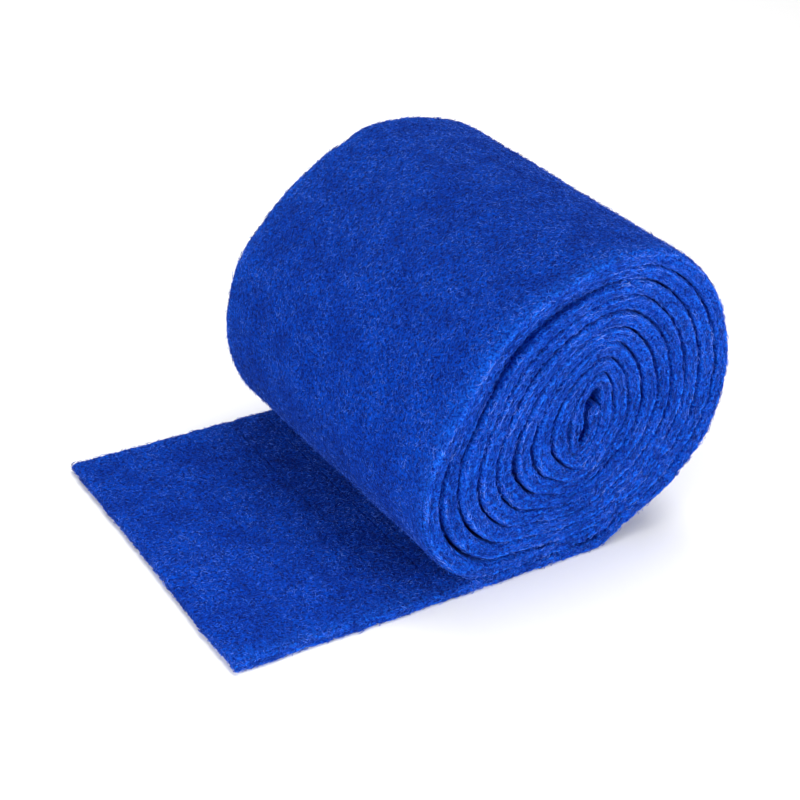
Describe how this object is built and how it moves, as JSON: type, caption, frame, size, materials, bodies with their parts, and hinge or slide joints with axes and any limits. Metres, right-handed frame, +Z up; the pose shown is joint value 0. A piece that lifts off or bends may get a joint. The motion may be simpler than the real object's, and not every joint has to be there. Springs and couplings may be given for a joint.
{
  "type": "filter mat roll",
  "caption": "Rolled strip of bonded fibre filter mat, slack and slightly flattened, with its loose end laid out as a flap that bends up against the roll.",
  "frame": {"origin": "on the floor, on the underside of the stretch that the roll rests on, straight below the core fold and at mid width", "axes": "+Z up, Y along the roll's axis, the loose flap towards -X"},
  "size_m": [0.2685, 0.2, 0.1597],
  "materials": {
    "fleece": "matt, fibrous"
  },
  "bodies": {
    "roll": {"core_fold": "fleece", "turn_1": "fleece", "turn_2": "fleece", "turn_3": "fleece", "turn_4": "fleece", "turn_5": "fleece", "turn_6": "fleece", "turn_7": "fleece", "turn_8": "fleece", "floor_stretch": "fleece"},
    "flap_1": {"flap_1": "fleece"},
    "flap_2": {"flap_2": "fleece"},
    "flap_3": {"flap_3": "fleece"},
    "flap_4": {"flap_4": "fleece"},
    "flap_5": {"flap_5": "fleece"},
    "flap_6": {"flap_6": "fleece"}
  },
  "joints": [
    {"name": "flap_1_bend", "type": "hinge", "parent": "roll", "child": "flap_1", "pos_m": [-0.06917, 0, 0.007], "axis": [0, 1, 0], "range_deg": [0, 34], "stiffness_Nm_per_rad": 0.02},
    {"name": "flap_2_bend", "type": "hinge", "parent": "flap_1", "child": "flap_2", "pos_m": [-0.08897, 0, 0.007], "axis": [0, 1, 0], "range_deg": [0, 26], "stiffness_Nm_per_rad": 0.02},
    {"name": "flap_3_bend", "type": "hinge", "parent": "flap_2", "child": "flap_3", "pos_m": [-0.10878, 0, 0.007], "axis": [0, 1, 0], "range_deg": [0, 24], "stiffness_Nm_per_rad": 0.02},
    {"name": "flap_4_bend", "type": "hinge", "parent": "flap_3", "child": "flap_4", "pos_m": [-0.12858, 0, 0.007], "axis": [0, 1, 0], "range_deg": [0, 16], "stiffness_Nm_per_rad": 0.02},
    {"name": "flap_5_bend", "type": "hinge", "parent": "flap_4", "child": "flap_5", "pos_m": [-0.14839, 0, 0.007], "axis": [0, 1, 0], "range_deg": [0, 14], "stiffness_Nm_per_rad": 0.02},
    {"name": "flap_6_bend", "type": "hinge", "parent": "flap_5", "child": "flap_6", "pos_m": [-0.16819, 0, 0.007], "axis": [0, 1, 0], "range_deg": [0, 10], "stiffness_Nm_per_rad": 0.02}
  ]
}
